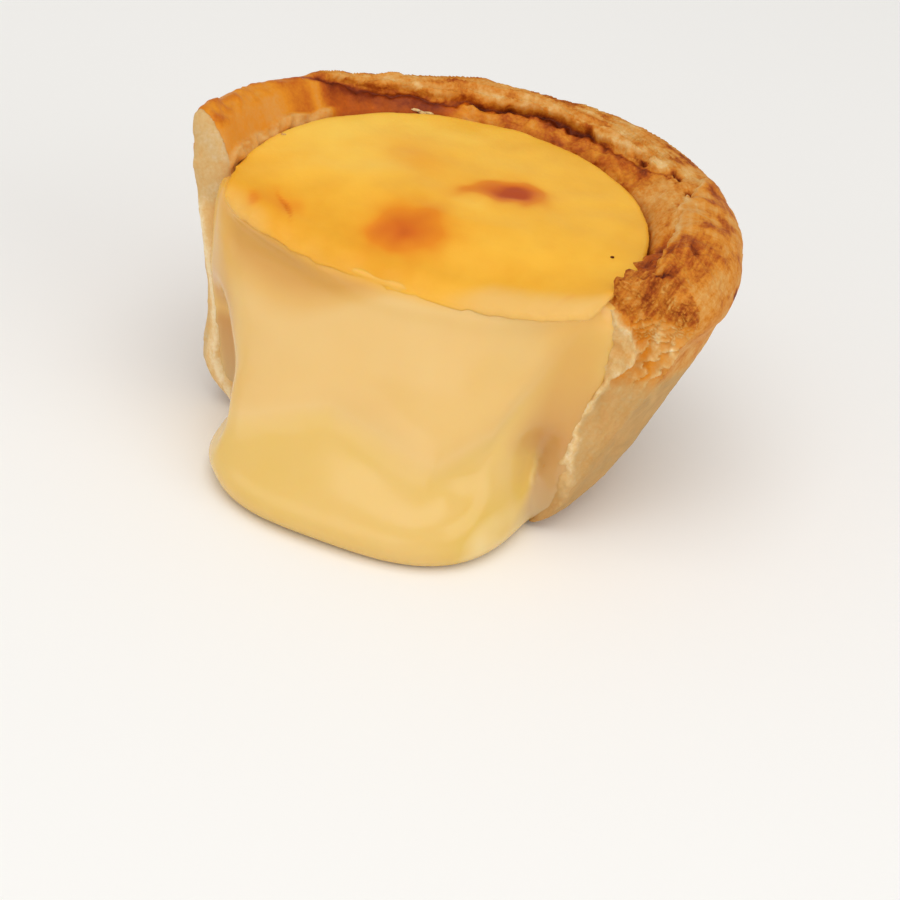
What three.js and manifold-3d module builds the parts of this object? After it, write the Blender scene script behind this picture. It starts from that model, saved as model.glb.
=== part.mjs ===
// An egg tart cut off-centre, with its runny custard flowing out of the cut to the surface it stands on.
// Millimetres, +Z up. The origin is the middle of the whole tart's flat base. The cut faces -Y.
// Three pieces: the pastry shell, the baked custard on top, and the runny custard that fills the shell and
// flows out.

import * as THREE from "three";
import { mergeVertices } from "three/addons/utils/BufferGeometryUtils.js";
import Module from "manifold-3d";

// ---- Driving sizes ----

const GAP = 0.3; // clearance between neighbouring pieces
const CUT_Y = -6.4; // plane of the cut, in front of the tart's middle
const BASE_RADIUS = 22.4; // flat part of the base
const BASE_CORNER_RADIUS = 25; // where the rounded corner of the base meets the wall
const BASE_CORNER_HEIGHT = 1.7;
const FLOOR_TOP = 4; // thickness of the pastry under the custard
const CUSTARD_LEVEL = 35; // height of the baked custard where it meets the pastry
const CUSTARD_RADIUS = 27.2; // radius of the baked custard at that height
const CUSTARD_DOME = 0.9; // rise of the baked custard in its middle
const CUSTARD_THICKNESS = 2.6; // baked layer over the runny custard
const CUSTARD_EDGE_THICKNESS = 1.2; // the same layer where it is torn open
const CUSTARD_SAG = 3.8; // how far the torn edge of the baked layer has sunk
const SAG_REACH = 17; // how far behind the torn edge the baked layer starts to sink
const MIDDLE_Y = 6; // a place well inside the cut tart, from which its round pieces are laid out
const TEAR_DEPTH = 0.9; // depth of the torn pastry's roughness
const CORNER_CHIP = 2.6; // pastry broken off the top of the right-hand end
const TORN_TONGUE = 3; // pastry left standing in front of the cut at the foot of that end
const TORN_BEVEL = 2.4; // how far the outer layers of that end are torn back behind its ridge
const TORN_BEVEL_WIDTH = 3.5;
const PASTRY_LUMPS = 0.35; // height of the lumps on the pastry's wall
const RIM_LUMPS = 0.8; // and on its rim
const FILL_PROUD = 2; // how far the custard inside the shell comes out of the cut to join the flow
const HOLLOW_DEPTH = 1.4; // how much further back it stands at the right, where it has run out
const HOLLOW_FROM = 18.5; // and how far from the middle that starts

// Sizes that change round the tart, by angle from +X: the outer wall's radius halfway up, the widest radius
// and its height, the crest's radius and height, and the radius where the inside of the rim starts down.
const RIM_STATIONS = [
  { at: -60, mid: 28.8, wide: 34.2, wideHeight: 31.0, crest: 30.6, crestHeight: 37.4, inner: 28.8 },
  { at: -14, mid: 29.4, wide: 35.4, wideHeight: 31.0, crest: 30.8, crestHeight: 37.6, inner: 28.8 },
  { at: 16, mid: 32.6, wide: 38.4, wideHeight: 32.6, crest: 32.2, crestHeight: 38.6, inner: 29.4 },
  { at: 50, mid: 32.4, wide: 38.6, wideHeight: 34.2, crest: 34.4, crestHeight: 38.6, inner: 30.6 },
  { at: 90, mid: 30.2, wide: 36.0, wideHeight: 34.6, crest: 33.0, crestHeight: 38.4, inner: 30.6 },
  { at: 130, mid: 29.4, wide: 34.0, wideHeight: 35.6, crest: 32.2, crestHeight: 39.0, inner: 30.6 },
  { at: 165, mid: 28.8, wide: 33.4, wideHeight: 36.8, crest: 32.0, crestHeight: 40.5, inner: 30.4 },
  { at: 192, mid: 28.8, wide: 33.4, wideHeight: 38.0, crest: 32.4, crestHeight: 41.8, inner: 30.4 },
  { at: 240, mid: 28.4, wide: 33.2, wideHeight: 36.0, crest: 31.6, crestHeight: 40.0, inner: 30.0 },
  { at: 300, mid: 28.0, wide: 33.2, wideHeight: 31.0, crest: 30.4, crestHeight: 37.4, inner: 28.8 },
];

// How steep the outer wall is, by angle: shares of the way out at 7 mm and at 24 mm above the base.
const WALL_STATIONS = [
  { at: -60, low: 0.55, high: 0.62 },
  { at: 130, low: 0.55, high: 0.62 },
  { at: 180, low: 0.8, high: 0.4 },
  { at: 240, low: 0.8, high: 0.4 },
  { at: 300, low: 0.55, high: 0.62 },
];

// The torn end at the right: where its ridge of pale pastry stands, by height.
const RIDGE_STATIONS = [
  { at: 0, x: 26.6 },
  { at: 8, x: 25.6 },
  { at: 15, x: 26.0 },
  { at: 22, x: 27.4 },
  { at: 30, x: 30.0 },
];

// The inside of the shell, from the custard's level down to the floor: height and radius.
const INSIDE_STATIONS = [
  { at: 4, radius: 17 },
  { at: 4.8, radius: 20.2 },
  { at: 7, radius: 22 },
  { at: 14, radius: 23.6 },
  { at: 24, radius: 25.4 },
  { at: 35, radius: 27.2 },
];

// The flow, by height: how far it reaches left and right of the middle and how far in front of the cut.
const FLOW_STATIONS = [
  { at: 0, left: 18.8, right: 20.4, front: 20.6 },
  { at: 2.4, left: 20.6, right: 21.6, front: 22.4 },
  { at: 5, left: 21.0, right: 21.2, front: 21.8 },
  { at: 8, left: 20.8, right: 20.4, front: 19.2 },
  { at: 12, left: 21.4, right: 20.0, front: 15.6 },
  { at: 18, left: 23.0, right: 20.6, front: 12.2 },
  { at: 25, left: 26.0, right: 22.2, front: 9.2 },
  { at: 31, left: 27.4, right: 24.4, front: 7.0 },
  { at: 35, left: 27.0, right: 26.4, front: 6.0 },
];
const FLOW_SQUARENESS_LOW = 3.1; // plan outline of the flow on the floor: 2 is an ellipse, more is squarer
const FLOW_SQUARENESS_HIGH = 2.1; // and under the baked layer

const TURN_STEPS = 112; // steps round the whole tart
const WALL_STEPS = 15; // steps up the outside of the shell and over its rim
const CUSTARD_STEPS = 72; // steps round the baked layer
const FLOW_FRONT_STEPS = 40; // points round the front of one outline of the flow
const FLOW_BACK_STEPS = 12; // points along its straight back
const FLOW_END_CROWDING = 0.8; // under 1 puts the front's points closer together at its two ends
// Shares of the flow's height at which it is outlined.
const FLOW_LEVELS = [0, 0.035, 0.08, 0.14, 0.2, 0.27, 0.35, 0.45, 0.56, 0.68, 0.8, 0.9, 1];

const wasm = await Module();
wasm.setup();

// ---- Small tools ----

const radians = THREE.MathUtils.degToRad;
const smooth = THREE.MathUtils.smoothstep;
const lerp = THREE.MathUtils.lerp;

// A smooth curve through the stations' values of one key, read at a place along them.
function along(stations, key, place) {
  const last = stations.length - 1;
  const x = THREE.MathUtils.clamp(place, stations[0].at, stations[last].at);
  let i = 0;
  while (i < last - 1 && x > stations[i + 1].at) i += 1;
  const [a, b] = [stations[i], stations[i + 1]];
  const span = b.at - a.at;
  const slope = (p, q) => (stations[q][key] - stations[p][key]) / (stations[q].at - stations[p].at);
  const slopeA = i > 0 ? slope(i - 1, i + 1) : slope(0, 1);
  const slopeB = i < last - 1 ? slope(i, i + 2) : slope(last - 1, last);
  const t = (x - a.at) / span;
  const [t2, t3] = [t * t, t * t * t];
  return (
    (2 * t3 - 3 * t2 + 1) * a[key] +
    (t3 - 2 * t2 + t) * span * slopeA +
    (3 * t2 - 2 * t3) * b[key] +
    (t3 - t2) * span * slopeB
  );
}

// A repeatable number from 0 to 1 for a lattice point.
function hash(i, j, k) {
  const s = Math.sin(i * 127.1 + j * 311.7 + k * 74.7) * 43758.5453;
  return s - Math.floor(s);
}

// Smooth noise from -1 to 1, about one lump for each unit of x, y and z.
function noise(x, y, z) {
  const [i, j, k] = [Math.floor(x), Math.floor(y), Math.floor(z)];
  const [u, v, w] = [smooth(x - i, 0, 1), smooth(y - j, 0, 1), smooth(z - k, 0, 1)];
  const row = (b, c) => lerp(hash(i, j + b, k + c), hash(i + 1, j + b, k + c), u);
  return 2 * lerp(lerp(row(0, 0), row(1, 0), v), lerp(row(0, 1), row(1, 1), v), w) - 1;
}

// A closed surface over a list of loops, each with as many points. The first and last loop are single points.
function skinLoops(loops) {
  const count = loops[0].length;
  const position = new Float32Array(loops.flat().flatMap((p) => [p.x, p.y, p.z]));
  const index = [];
  for (let i = 0; i < loops.length - 1; i += 1) {
    for (let j = 0; j < count; j += 1) {
      const next = (j + 1) % count;
      const [a, b] = [i * count + j, i * count + next];
      const [c, d] = [a + count, b + count];
      if (i > 0) index.push(a, b, d);
      if (i < loops.length - 2) index.push(a, d, c);
    }
  }
  return new THREE.BufferGeometry()
    .setAttribute("position", new THREE.BufferAttribute(position, 3))
    .setIndex(index);
}

// One point repeated, to close the end of a list of loops.
const pole = (x, y, z, count) => Array.from({ length: count }, () => new THREE.Vector3(x, y, z));

// A three.js geometry as a manifold-3d solid.
function toSolid(geometry) {
  const plain = geometry.clone();
  plain.deleteAttribute("normal");
  plain.deleteAttribute("uv");
  const merged = mergeVertices(plain, 1e-4);
  return new wasm.Manifold(
    new wasm.Mesh({
      numProp: 3,
      vertProperties: merged.attributes.position.array,
      triVerts: new Uint32Array(merged.index.array),
    }),
  );
}

// A manifold-3d solid as a three.js geometry.
function toGeometry(solid) {
  const mesh = solid.getMesh();
  const geometry = new THREE.BufferGeometry()
    .setAttribute("position", new THREE.BufferAttribute(mesh.vertProperties, 3))
    .setIndex(new THREE.BufferAttribute(mesh.triVerts, 1));
  geometry.computeVertexNormals();
  return geometry;
}

// ---- Shapes that pieces share ----

// Radius of the inside of the shell at a height up to the custard's level.
const insideRadius = (height) => along(INSIDE_STATIONS, "radius", height);

// How far the flow reaches in front of the cut at a place across it and a height.
function flowReach(x, height) {
  const left = along(FLOW_STATIONS, "left", height);
  const right = along(FLOW_STATIONS, "right", height);
  const front = along(FLOW_STATIONS, "front", height);
  const share = Math.min(1, Math.abs(x) / (x < 0 ? left : right));
  const power = lerp(FLOW_SQUARENESS_LOW, FLOW_SQUARENESS_HIGH, height / CUSTARD_LEVEL);
  return front * (1 - share ** power) ** (1 / power);
}

// Y of the torn front edge of the baked layer.
const tornEdge = (x) => CUT_Y - flowReach(x, CUSTARD_LEVEL);

// Height of the baked layer's top: a low dome that sinks towards the torn edge.
function custardTop(x, y) {
  const dome = CUSTARD_DOME * (1 - (x * x + y * y) / CUSTARD_RADIUS ** 2);
  const across = Math.max(0, 1 - (x / CUSTARD_RADIUS) ** 2);
  const near = 1 - smooth(y - tornEdge(x), 0, SAG_REACH);
  return CUSTARD_LEVEL + Math.max(0, dome) - CUSTARD_SAG * across * near * near;
}

// Height of the baked layer's underside, which thins towards the torn edge.
function custardUnderside(x, y) {
  const near = 1 - smooth(y - tornEdge(x), 0, SAG_REACH / 2);
  return custardTop(x, y) - lerp(CUSTARD_THICKNESS, CUSTARD_EDGE_THICKNESS, near);
}

// ---- Pastry shell ----

// Half of the shell's section at an angle: up the outside, over the rim, down the inside and along the floor.
function shellSection(angle) {
  const rim = (key) => along(RIM_STATIONS, key, angle);
  const wall = (key) => along(WALL_STATIONS, key, angle);
  const [wide, wideHeight] = [rim("wide"), rim("wideHeight")];
  const [crest, crestHeight] = [rim("crest"), rim("crestHeight")];
  const outside = new THREE.SplineCurve(
    [
      [BASE_CORNER_RADIUS, BASE_CORNER_HEIGHT],
      [lerp(BASE_CORNER_RADIUS, rim("mid"), wall("low")), 7],
      [rim("mid"), 15],
      [lerp(rim("mid"), wide, wall("high")), 24],
      [wide, wideHeight],
      [lerp(wide, crest, 0.22), lerp(wideHeight, crestHeight, 0.72)],
      [crest, crestHeight],
      [rim("inner"), crestHeight - 1.1],
      [CUSTARD_RADIUS, CUSTARD_LEVEL],
    ].map(([r, z]) => new THREE.Vector2(r, z)),
  ).getSpacedPoints(2 * WALL_STEPS);
  const inside = INSIDE_STATIONS.slice(0, -1)
    .map((s) => new THREE.Vector2(s.radius, s.at))
    .reverse();
  return [
    new THREE.Vector2(0, 0),
    new THREE.Vector2(BASE_RADIUS, 0),
    ...outside,
    ...inside,
    new THREE.Vector2(0, FLOOR_TOP),
  ];
}

// Lumps of the pastry's surface, in millimetres, none where it meets the custard or stands on its base.
function pastryLumps(angle, height) {
  const a = radians(angle);
  const [x, y] = [Math.cos(a), Math.sin(a)];
  const strength = lerp(smooth(height, 1, 8) * PASTRY_LUMPS, RIM_LUMPS, smooth(height, 26, 36));
  const large = noise(x * 4.2 + 9, y * 4.2, height * 0.16);
  const small = noise(x * 9, y * 9 + 5, height * 0.4);
  return strength * (large + 0.6 * small);
}

function shellLoops() {
  const angles = Array.from({ length: TURN_STEPS }, (_, j) => -60 + (360 * j) / TURN_STEPS);
  const sections = angles.map(shellSection);
  const insideFrom = 2 + 2 * WALL_STEPS;
  return sections[0].map((_, i) =>
    sections.map((section, j) => {
      const { x: r, y: z } = section[i];
      const isOuter = i > 1 && i < insideFrom;
      const radius = r + (isOuter ? pastryLumps(angles[j], z) : 0);
      const a = radians(angles[j]);
      return new THREE.Vector3(radius * Math.cos(a), radius * Math.sin(a), z);
    }),
  );
}

// What the cut takes away: a block whose rear face is rough, bites deeper at the top of the right-hand end
// and outside its ridge, and leaves a tongue of pastry at its foot.
function cutterGeometry() {
  const [width, depth, height] = [120, 80, 60];
  const facet = 2;
  const cutter = new THREE.BoxGeometry(width, depth, height, width / facet, 1, height / facet);
  cutter.translate(0, CUT_Y - depth / 2, height / 2 - 5);
  const p = cutter.attributes.position;
  for (let i = 0; i < p.count; i += 1) {
    const [x, y, z] = [p.getX(i), p.getY(i), p.getZ(i)];
    const isRearFace = y > CUT_Y - depth / 2;
    if (isRearFace) {
      const rough = TEAR_DEPTH * (0.5 + 0.5 * noise(x * 0.45, 3, z * 0.45));
      const chip = CORNER_CHIP * smooth(x, 27, 32) * smooth(z, 22, 34);
      const tongue = TORN_TONGUE * smooth(x, 10, 20) * (1 - smooth(z, 8, 24));
      const pastRidge = smooth(x - along(RIDGE_STATIONS, "x", z), 0, TORN_BEVEL_WIDTH);
      const bevel = TORN_BEVEL * pastRidge * (1 - smooth(z, 23, 28));
      p.setY(i, CUT_Y + rough + chip + bevel - tongue);
    }
  }
  return cutter;
}

function pastryShell() {
  const whole = toSolid(skinLoops(shellLoops()));
  return toGeometry(whole.subtract(toSolid(cutterGeometry())).subtract(flowSolid(GAP)));
}

// ---- Baked custard ----

// Distance from the laying-out place, along an angle, to a circle about the tart's middle or to a front edge.
function reach(angle, radius, frontEdge) {
  const [dx, dy] = [Math.cos(angle), Math.sin(angle)];
  const isInside = (t) => {
    const [x, y] = [dx * t, MIDDLE_Y + dy * t];
    return Math.hypot(x, y) < radius && y > frontEdge(x);
  };
  const halvings = 40;
  let [low, high] = [0, 2 * radius];
  for (let i = 0; i < halvings; i += 1) {
    const middle = (low + high) / 2;
    if (isInside(middle)) low = middle;
    else high = middle;
  }
  return low;
}

// A loop at a share of the way out to that circle and edge, at the heights that a function gives.
function sheetLoop(share, radius, frontEdge, heightAt) {
  return Array.from({ length: CUSTARD_STEPS }, (_, j) => {
    const angle = (2 * Math.PI * j) / CUSTARD_STEPS;
    const t = share * reach(angle, radius, frontEdge);
    const [x, y] = [t * Math.cos(angle), MIDDLE_Y + t * Math.sin(angle)];
    return new THREE.Vector3(x, y, heightAt(x, y));
  });
}

// The single point that closes such loops.
const sheetPole = (heightAt) => pole(0, MIDDLE_Y, heightAt(0, MIDDLE_Y), CUSTARD_STEPS);

function bakedCustard() {
  const topRadius = CUSTARD_RADIUS - GAP;
  const lowRadius = insideRadius(CUSTARD_LEVEL - CUSTARD_THICKNESS) - GAP;
  const underside = (share) => sheetLoop(share, lowRadius, tornEdge, custardUnderside);
  const top = (share) => sheetLoop(share, topRadius, tornEdge, custardTop);
  return skinLoops([
    sheetPole(custardUnderside),
    ...[0.35, 0.6, 0.8, 0.93, 1].map(underside),
    ...[1, 0.95, 0.86, 0.74, 0.6, 0.4, 0.2].map(top),
    sheetPole(custardTop),
  ]);
}

// ---- Runny custard ----

const flowTop = (x, y) => custardUnderside(x, y) - GAP;

// Y of the front of the custard inside the shell, which joins the flow and has run out at the right.
const fillFront = (x) => CUT_Y - FILL_PROUD + HOLLOW_DEPTH * smooth(x, HOLLOW_FROM, HOLLOW_FROM + 5);

function fillSolid() {
  const bottom = FLOOR_TOP + GAP;
  const heights = [bottom, 5.2, 7.4, 11, 16, 21, 26];
  const level = (height) => sheetLoop(1, insideRadius(height) - GAP, fillFront, () => height);
  const topRadius = insideRadius(CUSTARD_LEVEL - CUSTARD_THICKNESS - GAP) - GAP;
  const top = (share) => sheetLoop(share, topRadius, fillFront, flowTop);
  return toSolid(
    skinLoops([
      sheetPole(() => bottom),
      ...heights.map(level),
      ...[1, 0.92, 0.78, 0.55].map(top),
      sheetPole(flowTop),
    ]),
  );
}

// One outline of the flow at a share of its height: a squarish curve in front and a straight back at the cut.
function flowLoop(share, grow) {
  const back = CUT_Y - GAP + grow;
  const clearOfBack = 0.01;
  const heightAt = (x, y) => share * flowTop(x, Math.max(y, tornEdge(x)));
  const nominalHeight = share * (CUSTARD_LEVEL - CUSTARD_THICKNESS);
  const left = along(FLOW_STATIONS, "left", nominalHeight) + grow;
  const right = along(FLOW_STATIONS, "right", nominalHeight) + grow;
  const points = [];
  for (let j = 0; j < FLOW_FRONT_STEPS; j += 1) {
    const c = -Math.cos((Math.PI * j) / (FLOW_FRONT_STEPS - 1));
    const x = Math.sign(c) * Math.abs(c) ** FLOW_END_CROWDING * (c < 0 ? left : right);
    const height = heightAt(x, CUT_Y - flowReach(x, nominalHeight));
    const y = Math.min(back - clearOfBack, CUT_Y - flowReach(x, height) - grow);
    points.push(new THREE.Vector3(x, y, height));
  }
  for (let j = 1; j <= FLOW_BACK_STEPS; j += 1) {
    const x = lerp(right, -left, j / (FLOW_BACK_STEPS + 1));
    points.push(new THREE.Vector3(x, back, heightAt(x, back)));
  }
  return points;
}

// A loop drawn in towards a middle place, at the heights that a function gives.
function shrunkLoop(loop, share, middleY, heightAt) {
  return loop.map((p) => {
    const [x, y] = [p.x * share, lerp(middleY, p.y, share)];
    return new THREE.Vector3(x, y, heightAt(x, y));
  });
}

// The flow in front of the cut, grown by a clearance where it is to be cut out of another piece.
function flowSolid(grow = 0) {
  const loops = FLOW_LEVELS.map((share) => flowLoop(share, grow));
  const count = loops[0].length;
  const [bottomMiddle, topMiddle] = [CUT_Y - 8, CUT_Y - 3];
  const topAt = (x, y) => flowTop(x, Math.max(y, tornEdge(x)));
  const lid = [0.7, 0.35].map((share) => shrunkLoop(loops.at(-1), share, topMiddle, topAt));
  return toSolid(
    skinLoops([
      pole(0, bottomMiddle, 0, count),
      ...loops,
      ...lid,
      pole(0, topMiddle, topAt(0, topMiddle), count),
    ]),
  );
}

function runnyCustard() {
  return toGeometry(fillSolid().add(flowSolid()));
}

// ---- The tart ----

function piece(name, geometry, color, roughness) {
  const mesh = new THREE.Mesh(geometry, new THREE.MeshStandardMaterial({ color, roughness, metalness: 0 }));
  mesh.name = name;
  return mesh;
}

const tart = new THREE.Group();
tart.add(piece("pastry_shell", pastryShell(), 0xd19a58, 0.75));
tart.add(piece("baked_custard", bakedCustard(), 0xf2b33a, 0.35));
tart.add(piece("runny_custard", runnyCustard(), 0xf0c878, 0.2));

export default tart;
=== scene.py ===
"""Dresses the solids of a cut egg tart: flaky crust, baked custard on top and runny custard in front."""

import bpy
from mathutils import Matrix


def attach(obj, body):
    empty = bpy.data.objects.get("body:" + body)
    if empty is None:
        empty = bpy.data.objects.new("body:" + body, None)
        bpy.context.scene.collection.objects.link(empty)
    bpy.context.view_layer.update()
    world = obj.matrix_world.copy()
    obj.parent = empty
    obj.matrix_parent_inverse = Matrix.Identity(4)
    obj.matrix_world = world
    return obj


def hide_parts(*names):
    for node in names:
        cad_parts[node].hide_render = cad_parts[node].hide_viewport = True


bl_info = {
    "name": "Cut egg tart",
    "version": (1, 0, 0),
    "blender": (4, 5, 0),
    "location": "3D View > Sidebar > Egg tart",
    "description": "Makes the crust, the custards, the crumbs and the stage of a cut egg tart",
    "category": "Object",
}

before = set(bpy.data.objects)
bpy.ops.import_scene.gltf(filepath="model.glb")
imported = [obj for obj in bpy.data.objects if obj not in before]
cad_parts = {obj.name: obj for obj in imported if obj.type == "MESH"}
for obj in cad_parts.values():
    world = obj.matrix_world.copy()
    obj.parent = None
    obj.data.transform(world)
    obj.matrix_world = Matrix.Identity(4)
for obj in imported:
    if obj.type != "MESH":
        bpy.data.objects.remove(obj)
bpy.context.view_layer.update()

import math

import bmesh
import bpy
from bpy.props import FloatProperty, FloatVectorProperty, PointerProperty
from mathutils import Matrix, Vector, noise
from mathutils.bvhtree import BVHTree

MM = 0.001

# ---- Places on the tart, in millimetres in the frame's axes ----

CUT_Y = -6.4  # plane of the cut
CUSTARD_LEVEL = 35.0  # where the baked custard meets the crust
CUSTARD_RADIUS = 27.2
DOME = 0.9  # rise of the baked custard in the middle
EDGE_BOW = 6.0  # how far its front edge bows forward of the cut
EDGE_DROP = 3.8  # how far it sinks towards that edge
PALE_BELOW = 22.0  # height under which the crust's wall stayed pale in its tin
RIM_RADIUS = 33.0
FOOT_BULGE = 1.1  # how far the foot of the wall stands out at the left-hand end

# Radius of the gap under the rim's top layers, by angle from +X in degrees.
GAP_LINE = (
    (44, 32.2), (49, 31.0), (54, 30.4), (60, 30.6), (66, 30.4), (80, 30.6), (90, 30.6), (99, 29.8),
    (107, 29.4), (114, 29.1), (120, 29.3), (125, 29.8), (130, 30.2), (135, 30.6), (140, 31.1), (152, 31.6),
)

# Radius of the inner edge of the rim's broad smooth plate at the right, by angle.
PLATE_LINE = (
    (-5, 29.2), (4, 29.3), (9, 29.4), (15, 29.7), (27, 30.4),
    (32.5, 31.4), (35, 32.6), (38, 34.5), (45, 36.5),
)

# Radius of the crust's outer wall at its left-hand end, by height.
LEFT_WALL = (
    (0, 25), (7, 27.9), (15, 28.8), (24, 30.6), (33, 32.8), (38, 33.4), (42, 33.4),
)

# X of the runny custard's two edges on the cut, by height.
FLOW_LEFT = (
    (0, -19.6), (4, -20.9), (8, -21.1), (12, -22.1), (16, -22.8),
    (20, -23.8), (24, -25.3), (28, -26.6), (33, -27.3),
)
FLOW_RIGHT = (
    (0, 22.3), (4, 21.9), (10, 21.7), (16, 22.8), (22, 23.6), (28, 24.6), (33, 25.7),
)

# X of the outer edges of the custard smeared over the pastry beside the flow, by height.
SMEAR_LEFT = (
    (2, -24.2), (4, -24.9), (9.6, -26.3), (15.4, -27.3), (21, -27.9), (29, -28.1), (34, -27.6),
)
SMEAR_RIGHT = (
    (0, 23.5), (3, 24.8), (6, 25.7), (16, 25.3), (18, 25.7),
    (20.5, 26.6), (23, 27.3), (30, 27.6), (34, 26.6),
)

# Height of the seam between the baked and the runny custard on the cut, by X.
SEAM_LINE = (
    (-26, 32.8), (-24, 32.3), (-20, 31.3), (-15, 30.8), (-10, 29.9),
    (5, 29.9), (14, 30.3), (18, 31.3), (22, 31.8), (26, 32.8),
)

# X of the ridge of pale pastry on the torn end at the right, by height.
RIDGE_LINE = (
    (0, 26.3), (6, 26.2), (10, 25.9), (12, 25.7), (16, 25.7), (18.5, 26.1), (20.5, 26.9),
    (22.9, 27.6), (24.4, 29.3), (26.5, 30.6), (28.4, 30.3), (30.2, 28.9), (31.8, 26.8), (33, 24.5),
)


# ---- Small tools ----


def step(low, high, value):
    """0 below low, 1 above high and smooth between, or the other way round where low is the larger."""
    t = min(1.0, max(0.0, (value - low) / (high - low)))
    return t * t * (3.0 - 2.0 * t)


def span(value, zone):
    """1 between a zone's inner two values, and smooth to 0 at its outer two."""
    return step(zone[0], zone[1], value) * step(zone[3], zone[2], value)


def bell(distance, width):
    """1 at no distance, falling off smoothly over about the width."""
    return math.exp(-((distance / width) ** 2))


def mix(a, b, share):
    return a + (b - a) * share


def along(table, place):
    """Value in a table of (place, value) pairs, straight between them."""
    for (x0, v0), (x1, v1) in zip(table, table[1:]):
        if place <= x1:
            return mix(v0, v1, max(0.0, (place - x0) / (x1 - x0)))
    return table[-1][1]


def lumps(x, y, z, size, seed=0.0):
    """Smooth noise from about -1 to 1 with lumps of a size in millimetres."""
    return noise.noise(Vector((x / size + seed, y / size - seed, z / size + 2.0 * seed))) * 1.6


def turn(x, y):
    """Angle from +X in degrees, from -90 to 270."""
    angle = math.degrees(math.atan2(y, x))
    return angle + 360.0 if angle < -90.0 else angle


def from_line(table, x, z):
    """Distance on the cut from a line of (z, x) pairs, negative on its side towards the custard."""
    nearest = 1e9
    for (z0, x0), (z1, x1) in zip(table, table[1:]):
        dx, dz = x1 - x0, z1 - z0
        t = min(1.0, max(0.0, ((x - x0) * dx + (z - z0) * dz) / (dx * dx + dz * dz)))
        nearest = min(nearest, math.hypot(x - x0 - t * dx, z - z0 - t * dz))
    return nearest if x > along(table, z) else -nearest


def torn_edge(x):
    """Y of the front edge of the baked custard, which bows forward as a slightly squared half ellipse."""
    share = min(1.0, abs(x) / (27.0 if x < 0.0 else 26.4))
    return CUT_Y - EDGE_BOW * (1.0 - share**2.1) ** (1.0 / 2.1)


def custard_top(x, y):
    """Height of the baked custard's top: a low dome that sinks towards its front edge."""
    dome = DOME * max(0.0, 1.0 - (x * x + y * y) / CUSTARD_RADIUS**2)
    across = max(0.0, 1.0 - (x / CUSTARD_RADIUS) ** 2)
    near = 1.0 - step(0.0, 17.0, y - torn_edge(x))
    return CUSTARD_LEVEL + dome - EDGE_DROP * across * near * near


def linear(hex_code):
    """An sRGB hex colour as the linear colour that a shader takes."""
    channels = [int(hex_code[i : i + 2], 16) / 255 for i in (1, 3, 5)]
    return [c / 12.92 if c <= 0.04045 else ((c + 0.055) / 1.055) ** 2.4 for c in channels]


def rgba(hex_code):
    return (*linear(hex_code), 1.0)


# ---- Meshes ----


def new_object(name, data):
    """A new object in the scene, with a mesh, a camera or a light as its data."""
    made = bpy.data.objects.new(name, data)
    bpy.context.scene.collection.objects.link(made)
    return made


def mesh_of(shape, name):
    """A new mesh with a bmesh's shape. The bmesh is used up."""
    mesh = bpy.data.meshes.new(name)
    shape.to_mesh(mesh)
    shape.free()
    return mesh


def refined_copy(node, name, cell, rounds, *finer, joined=None):
    """The node's form as one even mesh with cells of a size in millimetres, its facets smoothed away.

    Each of finer is a test of a place and a normal, and where it is true the cells are halved. A mesh to be
    joined becomes one with the form.
    """
    piece = new_object(name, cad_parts[node].data.copy())
    piece.data.materials.clear()
    shape = bmesh.new()
    shape.from_mesh(piece.data)
    bmesh.ops.remove_doubles(shape, verts=shape.verts, dist=0.001 * MM)
    if joined is not None:
        shape.from_mesh(joined)
    shape.to_mesh(piece.data)
    shape.free()
    remesh = piece.modifiers.new("Even cells", "REMESH")
    remesh.mode = "VOXEL"
    remesh.voxel_size = cell * MM
    fine = bpy.data.meshes.new_from_object(piece.evaluated_get(bpy.context.evaluated_depsgraph_get()))
    piece.modifiers.clear()
    piece.data = fine
    fine.name = name
    shape = bmesh.new()
    shape.from_mesh(fine)
    smooth(shape, rounds)
    for shows in finer:
        near = [shows(face.calc_center_median() / MM, face.normal) for face in shape.faces]
        edges = [edge for edge in shape.edges if any(near[face.index] for face in edge.link_faces)]
        bmesh.ops.subdivide_edges(shape, edges=edges, cuts=1, use_grid_fill=True)
        shape.faces.index_update()
        smooth(shape, 1)
    shape.to_mesh(fine)
    shape.free()
    return piece


def smooth(shape, rounds):
    for _ in range(rounds):
        bmesh.ops.smooth_vert(
            shape, verts=shape.verts, factor=0.5, use_axis_x=True, use_axis_y=True, use_axis_z=True
        )


def sculpt(piece, form, sizes):
    """Moves every vertex by form's vector and stores form's marks, each as an attribute of the surface."""
    mesh = piece.data
    places = [vertex.co / MM for vertex in mesh.vertices]
    normals = [vertex.normal.copy() for vertex in mesh.vertices]
    made = [form(sizes, place, normal) for place, normal in zip(places, normals)]
    for vertex, place, (move, _) in zip(mesh.vertices, places, made):
        vertex.co = (place + move) * MM
    for mark in made[0][1]:
        attribute = mesh.attributes.new(mark, "FLOAT", "POINT")
        attribute.data.foreach_set("value", [marks[mark] for _, marks in made])
    mesh.update()


def finish_piece(piece, material, slot, *nodes):
    """Gives a piece its material, smooth faces and its place in the frame."""
    piece.data.materials.append(material)
    piece.data.polygons.foreach_set("use_smooth", [True] * len(piece.data.polygons))
    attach(piece, "root")
    if nodes:
        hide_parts(*nodes)


# ---- Materials ----


def node(tree, kind, inputs=None, **settings):
    """Adds one shader node. Inputs map a socket to a value or to the output that feeds it."""
    new = tree.nodes.new("ShaderNode" + kind)
    for key, value in settings.items():
        setattr(new, key, value)
    for key, value in (inputs or {}).items():
        if isinstance(value, bpy.types.NodeSocket):
            tree.links.new(value, new.inputs[key])
        else:
            new.inputs[key].default_value = value
    return new


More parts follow.
